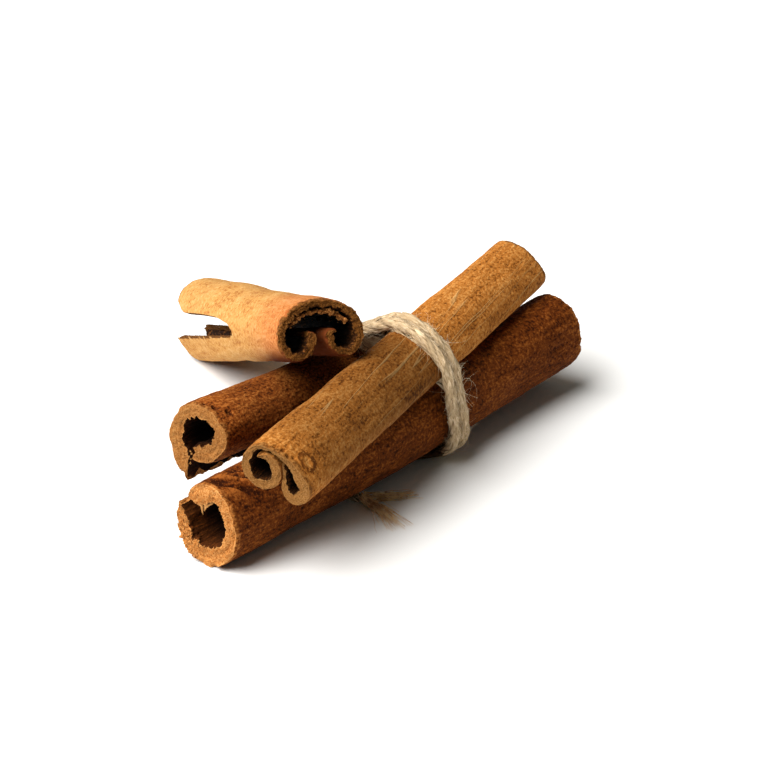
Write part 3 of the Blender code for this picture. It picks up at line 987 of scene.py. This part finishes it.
def loose_columns(share, column):
    lower, upper = slot_sides(share)
    first, last = SLOT_FIRST / LOOSE_COLUMNS, SLOT_LAST / LOOSE_COLUMNS
    below = column / first * lower
    between = lower + (column - first) / (last - first) * (upper - lower)
    above = upper + (column - last) / (1 - last) * (loose.width - upper)
    return np.where(column < first, below, np.where(column < last, between, above))


def in_slot(column, row):
    share = spread_along(row)
    if (1 - share) * loose.length > SLOT_LENGTH:
        return False
    return SLOT_FIRST / LOOSE_COLUMNS < column < SLOT_LAST / LOOSE_COLUMNS


def loose_ends(roll, distance, length, depth, found):
    """Rounds the loose stick's far lobes beside the slot, and gives its torn edges ribs and teeth."""
    share = length / roll.length
    lower, upper = slot_sides(share)
    from_far = np.maximum(roll.length - length, 0)
    for away, round_off in ((distance - upper, LOBE_ROUND), (lower - distance, TIP_ROUND)):
        left = np.clip(round_off - away, 0, round_off)
        cut_back = round_off - np.sqrt(round_off**2 - left**2)
        found["ahead"] -= np.where(away > -1e-6, cut_back, 0) * fade(from_far, round_off * 2.4)
    along_slot = from_far < SLOT_LENGTH
    at_lower = np.where(along_slot & (distance <= lower + 1e-6), fade(lower - distance, 0.5), 0)
    tooth = rough(np.stack([length, np.zeros(len(length)), depth * 2], axis=1), (0.5, 1, 1.2), 73, 2)
    found["aside"] += at_lower * np.clip(tooth, -0.1, 1) * 0.55
    found["tone"] += at_lower * (tooth * 3 + 1.5)
    from_side = np.minimum(distance, roll.width - distance)
    uneven = rough(np.stack([length, depth, distance * 0], axis=1), (2, 1, 1), 74)
    ribs = np.sin(length * math.tau / RIB_PITCH + 2 * uneven)
    found["lift"] += fade(from_side, 1.6) * ribs * 0.07
    found["tone"] += fade(from_side, 1.6) * (ribs * 2 + 1)
    burr = found["rim"] * (length < roll.length / 2)
    crust = rough(np.stack([distance, length, depth * 2], axis=1), (0.4, 0.5, 0.5), 75, 2)
    found["lift"] += burr * crust * 0.12 * (2 * depth - 1)
    found["tone"] -= burr * 1.5


loose_relief = bark_relief(
    71, lumps=0.08, grain=0.025, ragged=0.16, rings=0.03, hollow=0.25, detail=loose_ends
)
loose_piece = rolled(
    "loose_bark", loose, loose_relief,
    across=LOOSE_COLUMNS, along=LOOSE_ROWS, layers=6, missing=in_slot, columns=loose_columns,
)
dress(loose_piece, pale_bark, "loose_stick")

layer_relief = bark_relief(91, lumps=0.25, grain=0.12, ragged=0.7, chips=0.5, inner=0.12)
layer_piece = rolled(
    "loose_inner_layer", layer, layer_relief,
    across=110, along=80, layers=5, start=INNER_LAYER_START, stop=INNER_LAYER_REACH,
)
dress(layer_piece, inner_bark, "loose_stick_inner_layer")


FRONT_BANDS = ((0.08, 0.3, 120, 0.21), (0.0, 1.0, 110, 0.12))
BACK_BANDS = ((0.8, 1.0, 36, 0.13), (0.0, 1.0, 90, 0.09))
TOP_BANDS = ((0.42, 0.6, 40, 0.13), (0.0, 1.0, 80, 0.09))
LOOSE_BANDS = ((0.0, 1.0, 420, 0.17), (0.2, 0.45, 120, 0.2))
LAYER_BANDS = ((0.0, 1.0, 260, 0.3),)

cling(crumbs("front_crumbs", front_piece, FRONT_BANDS, 101), dark_bark)
cling(crumbs("back_crumbs", back_piece, BACK_BANDS, 102), brown_bark)
cling(crumbs("top_crumbs", top_piece, TOP_BANDS, 103), golden_bark)
cling(crumbs("loose_crumbs", loose_piece, LOOSE_BANDS, 104), pale_bark)
cling(crumbs("layer_crumbs", layer_piece, LAYER_BANDS, 105), inner_bark)

front_teeth = (
    (0.96, 0.3, 0.8, -2.0, 0.8),
    (0.93, 0.1, 0.1, -1.2, 0.6),
    (0.9, 0.05, -0.2, -1.1, 0.4),
    (0.86, 0.0, -0.6, -1.2, 0.35),
    (0.83, 0.0, -0.3, -0.6, 0.4),
)
cling(torn_fibres("front_torn_fibres", front, front_teeth), dark_bark)
back_teeth = (
    (0.93, 0.1, 0.6, 0.2, 0.35),
    (0.9, 0.0, 0.5, 0.4, 0.3),
    (0.87, 0.0, 0.7, 0.1, 0.3),
    (0.955, 0.1, 0.5, 0.5, 0.3),
)
cling(torn_fibres("back_torn_fibres", back, back_teeth), brown_bark)


# Twine.


def crossings(roll, place):
    """Where a stick passes through the plane x + TIE_SLANT * z = place."""
    lines = np.stack([roll.outline(share) for share in np.linspace(0, 1, 25)])
    reach = lines[:, :, 0] - CENTRED[0] + TIE_SLANT * lines[:, :, 2]
    found = []
    for k in range(lines.shape[1]):
        found.append([np.interp(place, reach[:, k], lines[:, k, axis]) for axis in (1, 2)])
    return found


def boundary_at(place):
    """The outline round the three tied sticks in that plane, anticlockwise."""
    spots = [spot for roll in (front, back, top) for spot in crossings(roll, place)]
    outline = np.array([spots[i] for i in geometry.convex_hull_2d(spots)])
    following = np.roll(outline, -1, axis=0)
    area = np.sum(outline[:, 0] * following[:, 1] - outline[:, 1] * following[:, 0])
    return outline if area >= 0 else outline[::-1]


def spot_towards(boundary, centre, angle):
    """Where a ray from the centre meets the closed outline."""
    ray = np.array([math.cos(angle), math.sin(angle)])
    start, stop = boundary - centre, np.roll(boundary, -1, axis=0) - centre
    side_a = ray[0] * start[:, 1] - ray[1] * start[:, 0]
    side_b = ray[0] * stop[:, 1] - ray[1] * stop[:, 0]
    i = next(i for i in range(len(start)) if side_a[i] <= 0 < side_b[i])
    return centre + start[i] + (stop[i] - start[i]) * (-side_a[i] / (side_b[i] - side_a[i]))


def turns_round():
    """The turns of the tie, from below the front stick towards the back stick and round again."""
    boundary = boundary_at(TIE_PLACE)
    closed = np.concatenate([boundary, boundary[:1]])
    reach = np.concatenate([[0], np.cumsum(np.linalg.norm(np.diff(closed, axis=0), axis=1))])
    even = np.linspace(0, reach[-1], TURN_STATIONS, endpoint=False)
    ring = np.stack([np.interp(even, reach, closed[:, k]) for k in (0, 1)], axis=1)
    centre = ring.mean(axis=0)
    ring = np.roll(ring, -int(np.argmin(ring[:, 1])), axis=0)
    angles = np.arctan2(ring[:, 1] - centre[1], ring[:, 0] - centre[0])
    spots, places = [], []
    for k in range(-1, TURNS * TURN_STATIONS + 2):
        place = TIE_PLACE + TIE_PITCH * (TURNS / 2 - k / TURN_STATIONS)
        spots.append(spot_towards(boundary_at(place), centre, angles[k % TURN_STATIONS]))
        places.append(place)
    path = []
    for k in range(1, len(spots) - 1):
        out = np.array([spots[k + 1][1] - spots[k - 1][1], spots[k - 1][0] - spots[k + 1][0]])
        out /= np.linalg.norm(out)
        thickness = TWINE_PRESSED if out[1] < -0.3 and spots[k][1] < 3.0 else TWINE
        y, z = spots[k] + out * (thickness / 2 + TIE_GAP)
        outward = np.array([-TIE_SLANT * out[1], out[0], out[1]])
        path.append((places[k] - TIE_SLANT * z + CENTRED[0], y, z, *outward, thickness, TWINE))
    return path


def on_floor(points):
    """Stations of twine that lies on the floor and widens where it is pressed thin."""
    stations = []
    for x, y, thick in points:
        spread = min(TWINE**2 / thick, TWINE_SPREAD)
        stations.append((x + CENTRED[0], y + CENTRED[1], thick / 2, 0, 0, -1, thick, spread))
    return stations


def even_stations(path, step):
    """The path's stations at an even distance, on a smooth line."""
    path = np.array(path)
    reach = np.concatenate([[0], np.cumsum(np.linalg.norm(np.diff(path[:, :3], axis=0), axis=1))])
    even = np.linspace(0, reach[-1], int(reach[-1] / step))
    stations = np.stack([np.interp(even, reach, path[:, k]) for k in range(path.shape[1])], axis=1)
    for _ in range(int(14 * (0.25 / step) ** 2)):
        stations[1:-1] = (stations[:-2] + 2 * stations[1:-1] + stations[2:]) / 4
    return stations, even


def frames_along(stations):
    ahead = np.gradient(stations[:, :3], axis=0)
    ahead /= np.linalg.norm(ahead, axis=1)[:, None]
    side = np.cross(ahead, stations[:, 3:6])
    side /= np.linalg.norm(side, axis=1)[:, None]
    return ahead, side, np.cross(side, ahead)


def joined_up(things, name):
    deselect()
    for thing in things:
        thing.select_set(True)
    bpy.context.view_layer.objects.active = things[0]
    bpy.ops.object.join()
    things[0].name = name
    return things[0]


PLIES = 3
PLY_LAY = 11.0  # one full twist of the plies, along the twine
PLY_SIDES = 20
PLY_OFFSET = 0.31  # from the middle of the twine to that of a ply
PLY_RADIUS = 0.64
FRAY_START = 0.45  # half the width of a frayed bundle where it starts


def plied(name, path, step=0.2):
    """Twine of three plies that wind round each other."""
    stations, reach = even_stations(path, step)
    _, side, out = frames_along(stations)
    rows = len(stations) - 1
    things = []
    for ply in range(PLIES):
        deselect()
        thing = unit_grid(PLY_SIDES, rows)
        flat = corners(thing)
        row = np.rint(flat[:, 1] * rows).astype(int)
        around = flat[:, 0] * math.tau
        twist = reach[row] / PLY_LAY * math.tau + ply * math.tau / PLIES
        wound = reach[row] + around * 0.3
        spot = np.stack([np.cos(around) * 0.7 + ply * 9, np.sin(around) * 0.7, wound], axis=1)
        fluff = rough(spot, (0.22, 0.22, 1.1), 5 + ply, 3)
        thick = PLY_RADIUS * (1 + 0.07 * rough(spot, (3.0, 3.0, 2.4), 15 + ply))
        centre_out = PLY_OFFSET * np.cos(twist)
        centre_side = PLY_OFFSET * np.sin(twist)
        radius = thick * 0.94 + 0.05 * fluff
        out_part = (centre_out + radius * np.cos(around + twist)) * stations[row, 6] / TWINE
        side_part = (centre_side + radius * np.sin(around + twist)) * stations[row, 7] / TWINE
        places = stations[row, :3] + out[row] * out_part[:, None] + side[row] * side_part[:, None]
        places[:, 2] = np.maximum(places[:, 2], 0.05)
        move_corners(thing, places * MM)
        mark(thing, "grain", np.stack([around, reach[row], np.full(len(row), float(ply))], axis=1))
        bpy.ops.object.mode_set(mode="EDIT")
        bpy.ops.mesh.select_all(action="SELECT")
        bpy.ops.mesh.remove_doubles(threshold=1e-6)
        bpy.ops.mesh.select_all(action="DESELECT")
        bpy.ops.mesh.select_non_manifold()
        bpy.ops.mesh.edge_face_add()
        bpy.ops.object.mode_set(mode="OBJECT")
        face_outwards(thing)
        bpy.ops.object.shade_smooth()
        things.append(thing)
    return joined_up(things, name), stations


def fuzz(
    stations, count, seed, lengths=(0.7, 2.6), lift=(0.0, 0.35), curl=0.3, rows=None, thickness=(0.025, 0.05)
):
    """Loose fibres that wind along the twine and stand off it."""
    draw = np.random.default_rng(seed)
    ahead, side, out = frames_along(stations)
    first, last = rows or (3, len(stations) - 3)
    routes = []
    for _ in range(count):
        i = draw.integers(first, last)
        angle = draw.uniform(0, math.tau)
        away = out[i] * math.cos(angle) + side[i] * math.sin(angle)
        around = side[i] * math.cos(angle) - out[i] * math.sin(angle)
        spot = stations[i, :3] + away * stations[i, 6] * draw.uniform(0.44, 0.5)
        heading = ahead[i] * draw.choice([-1, 1]) + away * draw.uniform(*lift)
        heading = heading + around * draw.normal(0.35, 0.2) * np.sign(heading @ ahead[i])
        heading /= np.linalg.norm(heading)
        turn = draw.normal(0, curl, 3) - away * draw.uniform(0, 0.25)
        length = draw.uniform(*lengths)
        thick = draw.uniform(*thickness)
        route = []
        for k in range(8):
            route.append((*spot, thick * (1 - 0.1 * k)))
            spot = spot + heading * length / 7
            heading = heading + turn * 0.5 + draw.normal(0, 0.1, 3)
            heading /= np.linalg.norm(heading)
        routes.append(route)
    return routes


def frayed(path, count, spread, seed):
    """Fibres that leave the twine's end together and fan out over the floor."""
    draw = np.random.default_rng(seed)
    stations, reach = even_stations(on_floor(path), 0.5)
    _, side, _ = frames_along(stations)
    routes = []
    for _ in range(count):
        across, rise = draw.normal(0, 0.5), draw.uniform(0, 1)
        last = draw.uniform(0.55, 1.15)
        thick = draw.uniform(0.05, 0.11)
        wave, phase = draw.uniform(0.05, 0.25), draw.uniform(0, math.tau)
        route = []
        for k in range(12):
            share = last * k / 11
            row = share * (len(stations) - 1)
            i = min(int(row), len(stations) - 1)
            over = max(0.0, share - 1) * reach[-1]
            ahead = stations[-1, :3] - stations[-2, :3]
            ahead = ahead / np.linalg.norm(ahead)
            reach_out = FRAY_START + spread * share**1.4
            aside = across * reach_out + wave * math.sin(share * 9 + phase)
            spot = stations[i, :3] + side[i] * aside + ahead * over
            height = 0.08 + rise * (1.3 * (1 - share) + 0.5)
            route.append((spot[0], spot[1], height, thick * (1 - 0.6 * share)))
        routes.append(route)
    return routes


cream_twine = twine_look("cream_twine", paint(124, 100, 70), paint(184, 158, 122), paint(224, 202, 168))
cream_hair = hair_look("cream_hair", paint(176, 152, 118), paint(236, 218, 188))
brown_hair = hair_look("brown_hair", paint(176, 132, 84), paint(240, 210, 162))

tie_path = turns_round() + on_floor(TAIL)
tie, tie_stations = plied("tie_plies", tie_path)
dress(tie, cream_twine, "twine_tie")
loose_fibres = fuzz(tie_stations, 1900, 3)
loose_fibres += fuzz(
    tie_stations, 240, 4, lengths=(1.5, 4.0), lift=(0.3, 1.2), curl=0.6, thickness=(0.02, 0.035)
)
# A few long curly fibres stand off the twine beside the place where the top stick crosses the front one.
beside_crossing = np.flatnonzero(
    (np.abs(tie_stations[:, 2] - 12.0) < 3.0) & (tie_stations[:, 1] < tie_stations[:, 1].min() + 3.0)
)[0]
loose_fibres += fuzz(
    tie_stations, 9, 9, lengths=(3.0, 5.5), lift=(0.8, 1.6), curl=1.1,
    rows=(beside_crossing, beside_crossing + 12), thickness=(0.035, 0.05),
)
tie_fuzz = threads("tie_hairs", loose_fibres)
tie_fuzz.data.materials.append(cream_hair)
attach(tie_fuzz, "root")
right_end = threads("frayed_end_right", frayed(FRAYED_RIGHT, 90, 1.3, 7))
dress(right_end, brown_hair, "twine_end_right")
front_end = threads("frayed_end_front", frayed(FRAYED_FRONT, 110, 1.7, 8))
dress(front_end, brown_hair, "twine_end_front")


# Floor, light and camera.


KEY_FROM = (-0.56, 0.25, 0.79)
KEY_DISTANCE = 1.6
KEY_SIZE = 1.8
KEY_ENERGY = 72.0
SKY_STRENGTH = 0.1


def set_stage():
    deselect()
    bpy.ops.mesh.primitive_plane_add(size=6.0, location=(0, 0, 0))
    floor = bpy.context.object
    floor.name = "floor"
    paper = Look("white_paper", 0.9, Specular_IOR_Level=0.0)
    paper.finish((0.86, 0.86, 0.855, 1.0))
    floor.data.materials.append(paper.material)

    world = bpy.data.worlds.new("studio")
    bpy.context.scene.world = world
    world.use_nodes = True
    sky = world.node_tree.nodes["Background"].inputs
    sky["Color"].default_value = (0.98, 1.0, 0.88, 1.0)
    sky["Strength"].default_value = SKY_STRENGTH

    key_from = Vector(KEY_FROM).normalized()
    bpy.ops.object.light_add(type="AREA", location=key_from * KEY_DISTANCE)
    key = bpy.context.object
    key.name = "key_light"
    key.data.shape = "DISK"
    key.data.size = KEY_SIZE
    key.data.energy = KEY_ENERGY
    key.data.color = (1.0, 0.985, 0.96)
    key.rotation_euler = (-key_from).to_track_quat("-Z", "Y").to_euler()


CAMERA_AZIMUTH = -50.0
CAMERA_ELEVATION = 26.0
CAMERA_DISTANCE = 0.6
CAMERA_AIM = (0.02099, 0.00034, 0.0)
CAMERA_LENS = 184.5


def set_camera():
    azimuth, elevation = math.radians(CAMERA_AZIMUTH), math.radians(CAMERA_ELEVATION)
    away = Vector(
        (
            math.sin(azimuth) * math.cos(elevation),
            -math.cos(azimuth) * math.cos(elevation),
            math.sin(elevation),
        )
    )
    bpy.ops.object.camera_add(location=Vector(CAMERA_AIM) + away * CAMERA_DISTANCE)
    camera = bpy.context.object
    camera.rotation_euler = (-away).to_track_quat("-Z", "Y").to_euler()
    camera.data.lens = CAMERA_LENS
    camera.data.sensor_width = 36.0
    camera.data.clip_start = 0.01
    camera.data.clip_end = 20.0
    bpy.context.scene.camera = camera


set_stage()
set_camera()
bpy.context.scene.view_settings.view_transform = "Standard"
